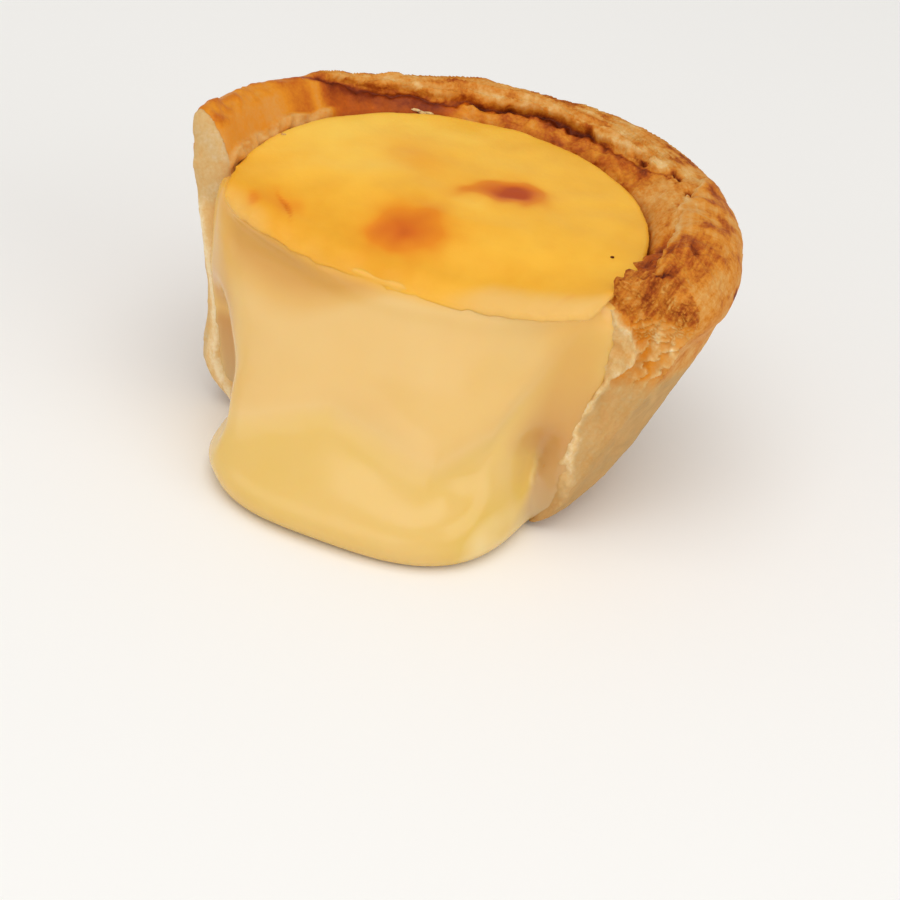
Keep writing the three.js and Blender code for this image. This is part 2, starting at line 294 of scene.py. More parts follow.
def new_material(name):
    """A new material, its empty tree, and the place on the piece to put patterns by."""
    material = bpy.data.materials.new(name)
    material.use_nodes = True
    tree = material.node_tree
    tree.nodes.clear()
    return material, tree, node(tree, "TexCoord").outputs["Object"]


def add_surface(tree, inputs):
    shader = node(tree, "BsdfPrincipled", inputs)
    node(tree, "OutputMaterial", {"Surface": shader.outputs["BSDF"]})


def ramp(tree, factor, stops):
    """A colour ramp through (place, hex colour) stops."""
    made = node(tree, "ValToRGB", {"Fac": factor})
    elements = made.color_ramp.elements
    while len(elements) < len(stops):
        elements.new(1.0)
    for element, (place, colour) in zip(elements, stops):
        element.position = place
        element.color = rgba(colour)
    return made.outputs["Color"]


def times(tree, a, b, plus=0.0):
    """a times b, plus a third value."""
    return node(tree, "Math", {0: a, 1: b, 2: plus}, operation="MULTIPLY_ADD").outputs["Value"]


def noise_node(tree, place, size, detail, roughness=0.55, distortion=0.0):
    """Noise in lumps of a size in millimetres."""
    inputs = {"Vector": place, "Scale": 1.0 / (size * MM), "Detail": detail}
    inputs |= {"Roughness": roughness, "Distortion": distortion}
    return node(tree, "TexNoise", inputs).outputs["Fac"]


def map_range(tree, value, settings):
    """The value mapped from one range to another, each 0 to 1 unless the settings say."""
    return node(tree, "MapRange", {"Value": value, **settings}).outputs["Result"]


def mark(tree, name):
    """A mark that the sculpting stored on the surface."""
    return node(tree, "Attribute", attribute_name=name).outputs["Fac"]


def mixed(tree, share, a, b):
    """A colour between two colours, each an output or a hex code."""
    a, b = (rgba(c) if isinstance(c, str) else c for c in (a, b))
    return node(tree, "Mix", {"Factor": share, 6: a, 7: b}, data_type="RGBA").outputs[2]


def bump(tree, height, depth, strength, below=None):
    """Relief of a depth in millimetres, on top of another relief."""
    inputs = {"Height": height, "Distance": depth * MM, "Strength": strength}
    if below is not None:
        inputs["Normal"] = below
    return node(tree, "Bump", inputs).outputs["Normal"]


def baked_pastry():
    """Baked laminated dough: dry and matt, cream inside, golden where it baked, dark where it stood proud.

    Where butter and custard ran over it, it is more orange, smoother and has a soft shine. Its bake mark also
    holds painted shade in hollows and under the rim, and a few painted highlights.
    """
    material, tree, place = new_material("baked_pastry")
    bake_and_painted_light, butter, damp_and_painted_shade = mark(tree, "bake_and_painted_light"), mark(tree, "butter"), mark(tree, "damp_and_painted_shade")
    # Toasted patches of 3 mm, flecks of 1 mm and grain of a third of a millimetre.
    patches = noise_node(tree, place, 3.4, 4.0, 0.6, 0.8)
    flecks = noise_node(tree, place, 1.1, 4.0, 0.65, 0.3)
    grain = noise_node(tree, place, 0.4, 2.0, 0.5)
    # Leaves of dough: noise drawn out round the tart, in lines a third of a millimetre wide.
    part = node(tree, "SeparateXYZ", {0: place}).outputs
    flat = node(tree, "CombineXYZ", {0: part["X"], 1: part["Y"]}).outputs[0]
    radius = node(tree, "VectorMath", {0: flat}, operation="LENGTH").outputs["Value"]
    turned = node(tree, "Math", {0: part["X"], 1: part["Y"]}, operation="ARCTAN2").outputs["Value"]
    arc, across = times(tree, turned, 4.5 * MM), times(tree, part["Z"], -0.35, radius)
    laid = node(tree, "CombineXYZ", {0: arc, 1: across, 2: times(tree, part["Z"], 0.2)}).outputs[0]
    leaves = noise_node(tree, laid, 0.8, 3.0, 0.6, 0.4)
    dryness = times(tree, butter, -1.0, 1.0)
    flaky = times(tree, dryness, bake_and_painted_light)
    # How far it is toasted: its baking with the painted shade and highlights that it holds, more or less by
    # the patches, flecks, grain and leaves.
    toast_and_painted_light = times(tree, patches, 0.6, times(tree, flecks, 0.6))
    toast_and_painted_light = times(tree, times(tree, grain, 0.35, toast_and_painted_light), 1.0, -0.79)
    toast_and_painted_light = times(tree, toast_and_painted_light, times(tree, dryness, 0.75, 0.2), bake_and_painted_light)
    toast_and_painted_light = times(tree, times(tree, times(tree, leaves, 1.0, -0.5), flaky), 1.2, toast_and_painted_light)
    stops = ((0.0, "#EFDDB8"), (0.2, "#E0C086"), (0.42, "#D59C50"), (0.6, "#C37829"), (0.78, "#98480D"))
    dry = ramp(tree, toast_and_painted_light, (*stops, (1.0, "#561802")))
    stops = ((0.0, "#F3D8A4"), (0.2, "#E2B472"), (0.4, "#D49C55"), (0.58, "#DC8A1C"), (0.74, "#B8580E"))
    rich = ramp(tree, toast_and_painted_light, (*stops, (0.88, "#7E2E04"), (1.0, "#521601")))
    # Dough that steamed against its tin, and painted shade low on the walls: greyish beige, with paler
    # clouds.
    steam = times(tree, flecks, 0.3, times(tree, patches, 0.7))
    steamed_and_shaded = ramp(tree, steam, ((0.3, "#A67F4B"), (0.5, "#B99058"), (0.7, "#C9A16A")))
    relief = times(tree, times(tree, flecks, 2.0, grain), dryness)
    leafy = times(tree, leaves, flaky)
    surface = {
        "Base Color": mixed(tree, damp_and_painted_shade, mixed(tree, butter, dry, rich), steamed_and_shaded),
        "Roughness": map_range(tree, butter, {"To Min": 0.72, "To Max": 0.42}),
        "Normal": bump(tree, leafy, 0.6, 0.6, bump(tree, relief, 0.12, 0.4)),
        "Specular IOR Level": 0.14,
        "Subsurface Weight": 0.15,
        "Subsurface Radius": (1.0, 0.5, 0.25),
        "Subsurface Scale": 1.2 * MM,
    }
    add_surface(tree, surface)
    return material


def set_custard():
    """Baked egg custard: a smooth, moist skin with a soft sheen, and spots where the sugar browned."""
    material, tree, place = new_material("set_custard")
    toast_and_painted_light = mark(tree, "toast_and_painted_light")
    # Clouds of lighter and deeper yellow, 7 mm across, on the depth mark, which also paints shade at the
    # front left.
    clouds = times(tree, noise_node(tree, place, 7.0, 4.0), 0.5, mark(tree, "depth"))
    yellow = ramp(tree, clouds, ((0.12, "#FBCC54"), (0.45, "#F3B83C"), (0.75, "#E6A42A"), (1.0, "#D9921E")))
    brown = ramp(tree, toast_and_painted_light, ((0.0, "#EA9C20"), (0.3, "#E08618"), (0.7, "#D06812"), (1.0, "#B2450E")))
    browned = mixed(tree, map_range(tree, toast_and_painted_light, {"From Max": 0.3}), yellow, brown)
    surface = {
        "Base Color": mixed(tree, mark(tree, "melt"), browned, "#E3B462"),
        "Roughness": 0.36,
        "Normal": bump(tree, noise_node(tree, place, 0.9, 3.0), 0.14, 0.2),
        "Specular IOR Level": 0.15,
        "Subsurface Weight": 0.3,
        "Subsurface Radius": (1.0, 0.6, 0.2),
        "Subsurface Scale": 0.6 * MM,
    }
    add_surface(tree, surface)
    return material


def molten_custard():
    """Runny egg custard: a thick wet cream, glossy, with light passing about a millimetre into it."""
    material, tree, place = new_material("molten_custard")
    # Clouds on the depth mark, which also holds painted shade in ochre under the baked layer's edge, a
    # creamier painted sheen on the upper slope and a paler painted highlight low on the right.
    clouds = times(tree, noise_node(tree, place, 11.0, 2.0), 0.22, mark(tree, "depth"))
    stops = ((0.0, "#ECCF8E"), (0.07, "#DFB95E"), (0.3, "#E3BD76"), (0.6, "#DDAE5C"), (1.0, "#D39C46"))
    cream = ramp(tree, clouds, stops)
    # Where it only smears the pastry, the dough shows through it: greyer near the foot. The same tan mark
    # paints shade on the flow's sides, where they turn away.
    height = node(tree, "SeparateXYZ", {0: place}).outputs["Z"]
    height = map_range(tree, height, {"From Min": 3 * MM, "From Max": 31 * MM})
    stops = ((0.0, "#C8A878"), (0.2, "#CAA068"), (0.4, "#CD9957"), (0.7, "#D9A858"), (1.0, "#E0AE55"))
    thin = ramp(tree, height, stops)
    yolky = mixed(tree, mark(tree, "yolk"), cream, "#ECAF3C")
    surface = {
        "Base Color": mixed(tree, mark(tree, "tan_and_painted_shade"), yolky, thin),
        "Roughness": 0.2,
        "Normal": bump(tree, noise_node(tree, place, 5.0, 1.0), 0.3, 0.15),
        "IOR": 1.42,
        "Subsurface Weight": 0.4,
        "Subsurface Radius": (1.0, 0.62, 0.28),
        "Subsurface Scale": 0.7 * MM,
    }
    add_surface(tree, surface)
    return material


def painted_floor(colour):
    """Matt painted board: even and pale, with only a breath of unevenness."""
    material, tree, place = new_material("painted_floor")
    waves = bump(tree, noise_node(tree, place, FLOOR_WAVES, 2.0, 0.5), 0.2, 0.1)
    add_surface(tree, {"Base Color": (*colour, 1.0), "Roughness": 0.6, "Normal": waves})
    return material


# ---- Crust ----

# How baked each part of the crust is: 0 is raw, about 0.5 golden and 1 burnt. The tones of the shaded wall
# and of the pocket are painted shade.
BAKE_STEAMED = 0.32  # the wall low down
BAKE_GOLDEN = 0.54  # the wall above, and the rim
BAKE_LAYERS = 0.55  # the rim's top layers at the back
BAKE_LEDGE = 0.48  # the ledge before them
BAKE_SHADED = 0.76  # the wall down to the custard, in their shade
BAKE_POCKET = 0.78  # the pocket at the right
BAKE_ORANGE = 0.53  # the smooth wall at the left
BAKE_BAND = 0.42  # the lumpy band under it

# Where each part of the rim starts and ends, softly, by angle from +X in degrees.
BACK_ZONE = (44.0, 51.0, 144.0, 156.0)
SHADED_ZONE = (104.0, 116.0, 142.0, 150.0)
PLATE_ZONE = (-5.0, 1.0, 38.0, 45.0)
OVERHANG_ZONE = (-40.0, -20.0, 8.0, 14.0)

# Small holes in the rim: x, y, width and depth.
RIM_HOLES = (
    (16.4, 26.2, 0.6, 0.9), (17.4, 25.5, 0.6, 1.1), (18.4, 24.8, 0.5, 0.9),
    (22.7, 22.9, 0.6, 1.2), (23.4, 21.9, 0.55, 1.3), (24.1, 21.0, 0.4, 0.9),
    (26.4, 18.8, 0.6, 1.3), (27.2, 17.8, 0.55, 1.2), (30.6, -2.2, 0.7, 1.0),
    (32.6, 4.6, 0.5, 0.7),
)


def hole_depth(x, y, z):
    if z < CUSTARD_LEVEL:
        return 0.0
    ragged_x, ragged_y = x + 0.5 * lumps(x, y, z, 0.9, 3.3), y + 0.5 * lumps(x, y, z, 0.9, 8.3)
    return sum(
        depth * bell(math.hypot(ragged_x - hole_x, ragged_y - hole_y), width)
        for hole_x, hole_y, width, depth in RIM_HOLES
    )


def layers(across, along_it, place, thickness, raggedness):
    """Overlapping layers of dough: rises slowly from 0 to 1 over a layer, then drops at its edge."""
    ragged = raggedness * (noise.turbulence(place / 1.7, 3, False) - 0.5)
    wave = noise.noise(Vector((along_it / 9.0, across / 3.0, 1.7)))
    t = across / thickness + 1.6 * wave + ragged
    part = t - math.floor(t)
    return part * part


def on_cut_face(place, normal):
    return place.y < CUT_Y + 5.0 and normal.y < -0.25 and place.z > 0.8


def shows_rim(place, normal):
    """Whether a place on the crust is on its rim or on the torn end."""
    x, y, z = place
    return (z > 34.4 and math.hypot(x, y) > 26.8) or (x > 0.0 and on_cut_face(place, normal))


def shows_well(place, normal):
    """Whether it is on the rim or a little lower, on a cut face or on the wall beside the torn end."""
    x, y, z = place
    radius = math.hypot(x, y)
    on_wall = z > 1.0 and radius > 24.0 and x > 20.0 and -14.0 < y < 14.0
    return on_wall or (z > 32.8 and radius > 26.4) or on_cut_face(place, normal)


def crust_form(sizes, place, normal):
    """Relief and browning of the crust at a place with a normal; the browning also holds painted shade and
    highlights.
    """
    x, y, z = place
    if x > 0.0:
        cut = step(0.3, 0.65, -normal.y) * step(CUT_Y + 7.0, CUT_Y + 5.0, y)
    else:
        cut = step(CUT_Y + 1.7, CUT_Y + 1.1, y)
    if cut > 0.5:
        push, bake_and_painted_light, butter, damp_and_painted_shade = torn_end(place) if x > 0.0 else smooth_end(place)
        push *= 2.0 * cut - 1.0
    else:
        push, bake_and_painted_light, butter, damp_and_painted_shade = baked_side(sizes, place, normal)
        push *= 1.0 - 2.0 * cut
    move = normal * (push * step(0.5, 2.0, z)) + over_custard(sizes, x, y, z) + foot_bulge(x, y, z)
    marks = {"bake_and_painted_light": bake_and_painted_light, "butter": butter, "damp_and_painted_shade": damp_and_painted_shade}
    return move, {name: min(1.0, max(0.0, value)) for name, value in marks.items()}


def over_custard(sizes, x, y, z):
    """Draws the brown crumbly edge at the right in over the baked custard."""
    radius, angle = math.hypot(x, y), turn(x, y)
    ragged = 0.7 + 0.5 * lumps(x, y, z, 1.8, 6.3)
    share = step(29.2, 27.6, radius) * step(30.5, 32.5, z)
    share *= span(angle, OVERHANG_ZONE)
    return Vector((-x, -y, 0.5 * radius)) * (sizes.overhang * ragged * share / max(radius, 1.0))


def foot_bulge(x, y, z):
    """Widens the foot of the wall at the left-hand end of the cut."""
    radius = math.hypot(x, y)
    share = bell(z - 4.5, 5.0) * step(0.5, 2.0, z)
    share *= step(-14.0, -22.0, x) * step(4.0, -2.0, y) * step(23.0, 27.0, radius)
    return Vector((x, y, 0.0)) * (FOOT_BULGE * share / max(radius, 1.0))


def baked_side(sizes, place, normal):
    """The crust away from the cut: its outer wall, its rim and its inside above the custard."""
    x, y, z = place
    radius, angle = math.hypot(x, y), turn(x, y)
    outward = (normal.x * x + normal.y * y) / max(radius, 1.0)
    outside = step(0.1, 0.5, outward) * step(38.5, 35.5, z)
    inside = step(0.0, 0.45, -outward) * step(CUSTARD_LEVEL - 1.5, CUSTARD_LEVEL - 0.5, z)
    rim = step(31.5, 35.0, z) * (1.0 - outside)
    arc = math.radians(angle) * RIM_RADIUS
    drift, patch, blister = lumps(x, y, z, 6.5, 4.4), lumps(x, y, z, 2.2, 9.1), lumps(x, y, z, 3.4, 5.5)
    crumble = noise.turbulence(place / 1.1, 3, False) - 0.5
    grain = lumps(0.35 * arc, 2.2 * radius, z, 1.5, 2.6)
    layer = layers(radius + 0.2 * z, arc, Vector((arc / 4.0, radius, z)), 1.0, 0.5)
    streak = lumps(arc, 0.0, 0.15 * z, 1.9, 6.6)

    # Outer wall: pale and greyish below, the grey being painted shade, golden above.
    line = PALE_BELOW + 2.2 * drift + 0.9 * patch
    golden = step(line - 3.0, line + 4.5, z)
    push = outside * (0.12 * blister + 0.06 * crumble + 0.1 * layer * step(24.0, 31.0, z))
    bump_out = bell(z - 32.0, 2.5) * bell(angle - 8.0, 12.0)
    push += outside * 0.8 * (bump_out - bell(z - 26.0, 3.0) * bell(angle, 12.0))
    bake_and_painted_light = mix(BAKE_STEAMED + 0.04 * drift + 0.05 * patch, BAKE_GOLDEN + 0.07 * patch, golden)
    butter, damp_and_painted_shade = 0.35 * golden, 0.85 * (1.0 - golden)

    # Rim: plates of crust with fine cracks between them, and mottled patches.
    top = BAKE_GOLDEN + 0.07 * patch + 0.06 * drift
    top_push = 0.22 * blister + 0.08 * patch + 0.08 * crumble

    # At the back its top layers stand behind a narrow gap, and a rough ledge lies before the gap.
    back = span(angle, BACK_ZONE)
    past_gap = radius - along(GAP_LINE, angle) - 0.3 * lumps(x, y, z, 2.4, 3.1) - 0.25 * crumble
    shaded = span(angle, SHADED_ZONE)
    sheets = back * step(0.0, 0.5, past_gap)
    burnt = lumps(x, y, z, 3.0, 7.3) + 0.9 * bell(angle - 92.0, 9.0) - 0.9 * bell(angle - 66.0, 8.0)
    burnt = step(33.0, 34.4, radius) * step(-0.2, 0.4, burnt)
    tone = BAKE_LAYERS + 0.06 * step(98.0, 112.0, angle)
    tone += 0.12 * grain + 0.08 * patch + 0.05 * (layer - 0.4)
    top = mix(top, tone + 0.24 * burnt - 0.1 * bell(past_gap - 0.8, 0.6), sheets)
    top_push = mix(top_push, sizes.layer_relief * (layer - 0.45) + 0.14 * blister + 0.03 * crumble, sheets)
    swells = 0.5 * bell(angle - 107.0, 8.0) - 0.6 * bell(angle - 134.0, 9.0)
    top_push += back * step(30.5, 32.0, radius) * swells
    top_push += sizes.lip * back * step(0.1, 0.6, past_gap) * step(3.6, 1.6, past_gap)
    ledge = back * step(0.0, -0.4, past_gap)
    lit_ledge, shaded_ledge = ledge * (1.0 - shaded), ledge * shaded
    near_gap = step(-1.4, -0.2, past_gap)
    reddish = step(108.0, 92.0, angle)
    top = mix(top, BAKE_LEDGE + 0.08 * patch + (0.2 + 0.14 * near_gap) * reddish, lit_ledge)
    top_push += lit_ledge * (0.2 * crumble + 0.1 * blister)

    # Further left the wall behind the gap drops straight to the custard, in the rim's shade, which is painted
    # on it as dark brown, darkest near the gap.
    top = mix(top, BAKE_SHADED + 0.12 * step(-2.4, -0.4, past_gap), shaded_ledge)
    top_push = mix(top_push, -0.55 + 0.1 * streak, shaded_ledge)
    gap = back * bell(past_gap, 0.45) * step(35.0, 36.0, z) * (1.0 - 0.55 * shaded)
    gap *= mix(0.3, 1.0, step(58.0, 78.0, angle))

    # At the right one broad smooth plate ends in a pale ragged edge over a pocket beside the custard, sunk
    # and painted dark brown as its shade.
    right = span(angle, PLATE_ZONE)
    past_plate = radius - along(PLATE_LINE, angle) - 0.5 * lumps(x, y, z, 1.8, 5.1) - 0.3 * crumble
    plate = right * step(-0.1, 0.3, past_plate)
    pocket = right * step(23.0, 18.0, angle) * step(0.1, -0.3, past_plate) * step(27.0, 27.7, radius)
    top = mix(top, BAKE_POCKET + 0.1 * patch, pocket)
    top -= (0.2 + 0.1 * patch) * right * bell(past_plate - 0.3, 0.5)
    top_push += 0.5 * plate * step(4.0, 1.0, past_plate) - 0.9 * pocket
    brown = step(14.0, 6.0, angle + 3.0 * patch) * step(38.6, 36.6, radius + 0.8 * patch)
    top += 0.16 * plate * step(1.0, 2.5, past_plate) * step(-0.5, 0.7, patch + drift) * (1.0 - 0.8 * brown)
    top += (0.17 - 0.05 * patch) * brown * (1.0 - pocket)
    top += 0.08 * brown * grain
    top_push += brown * (0.45 * crumble + 0.25 * patch)

    holes = hole_depth(x, y, z)
    push += rim * (top_push - sizes.gap_depth * gap) - holes
    bake_and_painted_light = mix(bake_and_painted_light, top, rim)
    butter = mix(butter, 0.25 + 0.6 * shaded_ledge + 0.35 * ledge + 0.5 * pocket + 0.25 * plate, rim)
    damp_and_painted_shade *= 1.0 - rim

    # The inside at the left: a smooth orange wall over a lumpy pink band along the custard.
    left = step(141.0, 150.0, angle)
    smooth_wall = max(inside, rim) * left
    knobs = lumps(x, y, z, 1.3, 12.3)
    band = step(36.5 + 0.4 * blister, 35.9 + 0.4 * blister, z) * step(30.0, 28.8, radius)
    high = step(38.6, 40.4, z + 0.6 * blister)
    wall_push = 0.03 * streak + 0.12 * blister + 0.22 * high * knobs
    push = mix(push, wall_push + band * (0.35 + 0.25 * blister + 0.35 * knobs), smooth_wall)
    orange = BAKE_ORANGE + 0.02 * streak + 0.04 * drift + (0.1 + 0.08 * knobs) * high
    # Painted shade: deeper orange towards the back and in a streak at 141 degrees; a painted highlight in a
    # streak at 148.5 degrees.
    orange += 0.17 * step(164.0, 152.0, angle)
    orange += 0.24 * bell(angle - 141.0, 4.0) - 0.16 * bell(angle - 148.5, 2.0)
    orange -= 0.22 * step(CUT_Y + 1.6, CUT_Y + 0.3, y - 0.4 * knobs) * step(40.5, 38.5, z)
    bake_and_painted_light = mix(bake_and_painted_light, mix(orange, BAKE_BAND + 0.08 * patch, band), smooth_wall)
    butter = mix(butter, mix(0.95, 0.6, band), smooth_wall)
    scorched = outside * bell(math.hypot(z - 32.2, arc - 6.2) + 0.7 * patch, 0.9)
    # Painted shade: the gap and the holes are darkened and made richer; the scorched spot on the wall is
    # browning.
    bake_and_painted_light += 0.4 * gap * rim + 0.34 * min(1.0, holes) + 0.4 * scorched
    return push, bake_and_painted_light, butter + 0.5 * gap * rim, damp_and_painted_shade


def smooth_end(place):
    """The left-hand end: cut cleanly, with custard smeared over all but its top and a thin outer edge."""
    x, y, z = place
    streak = lumps(x, 0.0, z * 0.12, 1.5, 1.1)
    from_wall = along(LEFT_WALL, z) - math.hypot(x, y)
    smeared = step(30.5, 27.5, z + 0.5 * streak) * step(0.3, 0.8, from_wall)
    from_bead = from_wall - 1.0 - 0.05 * max(0.0, 24.0 - z)
    bead = smeared * bell(from_bead, 0.5)
    pale = smeared * step(2.2, 0.2, from_bead)
    # The bead is painted paler and less rich, as its highlight.
    bake_and_painted_light = mix(0.22 + 0.05 * streak, 0.33 + 0.03 * streak, smeared) - 0.12 * pale - 0.2 * bead
    butter = mix(0.2, 0.85, smeared) - 0.25 * pale - 0.3 * bead
    damp_and_painted_shade = mix(0.5, 0.1, smeared)
    return 0.1 * streak + 0.35 * bead + 0.1 * smeared, bake_and_painted_light, butter, damp_and_painted_shade


def torn_end(place):
    """The right-hand end: custard-coated inside a ridge of pale pastry, torn layers above and outside."""
    x, y, z = place
    wander = 0.45 * lumps(x, y, z, 2.8, 2.2) + 0.3 * lumps(x, y, z, 1.2, 7.7)
    side = from_line(RIDGE_LINE, x + wander, z + wander)
    ragged = noise.turbulence(Vector((x / 1.2, y / 1.2, z / 2.4)), 3, True)
    streak = lumps(x + 0.25 * z, 0.0, z * 0.1, 1.7, 8.8)
    high = step(21.0, 24.0, z)
    coated = step(0.25, -0.35, side)
    flap = coated * step(-4.2, -1.6, side + wander) * step(22.0, 25.0, z)
    low, below_flap = step(14.0, 6.0, z), step(21.0, 17.0, z)
    ridge = bell(side + 0.25 + 0.5 * below_flap, 0.55 + 0.45 * below_flap) * (1.0 - 0.5 * high)

    # Inside the ridge: tan and smooth with upright streaks, greyer near the foot as painted shade, and cream
    # on the flap.
    push = coated * 0.12 * streak + flap * (0.4 + 0.5 * ragged) + ridge * (0.3 + 0.7 * ragged)
    bake_and_painted_light = mix(0.42 + 0.04 * streak, 0.24 + 0.1 * (1.0 - ragged), flap)
    butter, damp_and_painted_shade = mix(0.9 - 0.6 * low, 0.3, flap), mix(0.1 + 0.7 * low, 0.2, flap)

    # Outside it: bare wall below, greyish as painted shade, and torn leaves of golden dough above, that fold
    # over towards the rim.
    folded = step(28.0, 33.0, z)
    across = mix(x - 0.35 * z, 0.6 * x + 0.8 * z - 30.0, folded)
    layer = layers(across, z - x, place, 1.7, mix(0.5, 1.6, folded))
    sheet = lumps(1.4 * x, y, 0.7 * z, 2.8, 3.3)
    tuft = bell(x - 32.2 - 0.1 * (z - 29.0), 0.55) * bell(z - 29.7, 1.5)
    tuft += bell(x - 34.4, 0.4) * bell(z - 28.9, 0.9)
    tuft = min(1.0, tuft * (0.6 + 0.8 * ragged))
    brown = step(31.0, 33.8, z + sheet)
    golden = 0.56 + 0.08 * sheet - mix(0.26, 0.1, folded) * layer + 0.12 * brown - 0.3 * tuft
    # Painted shade in the groove beside the ridge.
    golden += 0.08 * bell(side - 0.9, 0.8)
    torn_push = 0.4 * (layer - 0.4) + 0.35 * sheet - 0.3 * bell(side - 0.9, 0.8)
    torn_push += 0.2 * (ragged - 0.4) + 0.5 * tuft
    torn_bake = mix(0.34 + 0.05 * streak, golden, high)
    push = mix(torn_push * mix(0.3, 1.0, high), push, coated)
    bake_and_painted_light = mix(torn_bake, bake_and_painted_light, coated) - 0.26 * ridge
    butter = mix(mix(0.1, 0.9 - 0.5 * brown - 0.5 * layer - 0.5 * tuft, high), butter, coated)
    damp_and_painted_shade = mix(0.7 * (1.0 - high), damp_and_painted_shade, coated)
    return push, bake_and_painted_light, butter * (1.0 - 0.6 * ridge), damp_and_painted_shade


# ---- Baked custard ----

# Browned spots: x, y, size along X and Y before turning, turn in degrees, and strength.
BROWN_SPOTS = (
    (-1.6, -5.2, 4.7, 4.2, 28.0, 0.42), (-2.6, -6.1, 2.9, 2.2, 10.0, 0.3),
    (-0.2, -4.6, 6.6, 5.6, 20.0, 0.1), (7.1, 8.6, 2.9, 2.2, 25.0, 0.8),
    (7.1, 8.2, 4.6, 3.6, 25.0, 0.22), (3.6, 7.6, 4.6, 1.7, 42.0, 0.42),
    (-8.0, 10.0, 7.0, 4.0, -35.0, 0.15), (-17.4, -8.0, 3.2, 1.6, -30.0, 0.26),
    (-21.0, -8.2, 1.0, 0.7, 0.0, 0.35), (20.6, -8.9, 1.8, 0.25, 35.0, 0.22),
    (19.2, -9.9, 1.2, 0.2, 25.0, 0.2), (14.4, -10.8, 2.2, 0.2, 25.0, 0.16),
)


def spot_strength(x, y):
    """How browned the custard is at a place, from 0 to 1, with ragged edges to the spots."""
    ragged_x = x + 0.7 * lumps(x, y, 0.0, 2.6, 1.5)
    ragged_y = y + 0.7 * lumps(x, y, 0.0, 2.6, 6.5)
    total = 0.0
    for spot_x, spot_y, width, height, turned, strength in BROWN_SPOTS:
        c, s = math.cos(math.radians(turned)), math.sin(math.radians(turned))
        dx, dy = ragged_x - spot_x, ragged_y - spot_y
        u, v = (c * dx + s * dy) / width, (c * dy - s * dx) / height
        total += strength * math.exp(-(abs(u) ** 2.2 + abs(v) ** 2.2))
    return min(1.0, total)


def baked_form(sizes, place, normal):
    """Relief, browning and painted shade of the baked custard, whose front edge melts into the runny custard.
    """
    x, y, z = place
    top = step(0.3, 0.7, normal.z)
    spot = spot_strength(x, y)
    swell = 0.5 * lumps(x, y, 0.0, 9.0, 2.0) + 0.25 * lumps(x, y, 0.0, 4.0, 5.0)
    # A crease in the skin at the front left, 4 mm long and turned by 41 degrees.
    crease_x, crease_y = x + 17.4, y + 8.0
    crease_u = crease_x * 0.75 - crease_y * 0.66
    crease_v = crease_x * 0.66 + crease_y * 0.75
    crease = bell(crease_v + 0.2 * lumps(x, y, 0.0, 2.0), 0.22) * bell(crease_u, 2.2)
    behind = y - torn_edge(x) - 0.4 * lumps(x, 0.0, 0.0, 3.0, 3.0)
    edge = step(2.8, 0.0, behind)
    push = top * (sizes.swell * swell - 0.25 * spot - 0.3 * crease)
    rise = sizes.rise * step(-4.0, 16.0, y) * step(33.0, 34.5, z)
    move = normal * push + Vector((0.0, -sizes.overlap * edge, rise - sizes.drape * edge * edge))
    right = step(-14.0, 16.0, x + 0.4 * y)
    # Painted shade: the front left of the skin is made deeper yellow.
    front_left = step(8.0, -9.0, y) * step(10.0, -8.0, x)
    depth = 0.02 + 0.24 * right + 0.36 * front_left + 0.14 * bell(math.hypot(x + 2.0, y - 2.0), 10.0)
    depth += 0.16 * step(10.0, 3.0, behind) - 0.22 * bell(math.hypot(x - 3.6, y - 3.6), 2.6)
    right_share, left_share = step(6.0, 13.0, x), step(-15.0, -21.0, x)
    melt = step(mix(1.2, 2.8, right_share) + 0.8 * left_share, mix(-0.2, 1.0, right_share), behind)
    melt *= 0.2 + 0.75 * right_share + 0.5 * left_share
    # The crease is also painted darker, as the shade in its groove.
    return move, {"toast_and_painted_light": spot + 0.35 * crease, "depth": depth, "melt": melt}


# ---- Runny custard ----

# Height of the flow's upper slope over its foot, from left to right, where the sheen on it ends.
WAVE = ((-24, 9), (-15, 10), (-3, 15), (4, 14), (12, 11.5), (17, 16), (24, 30))


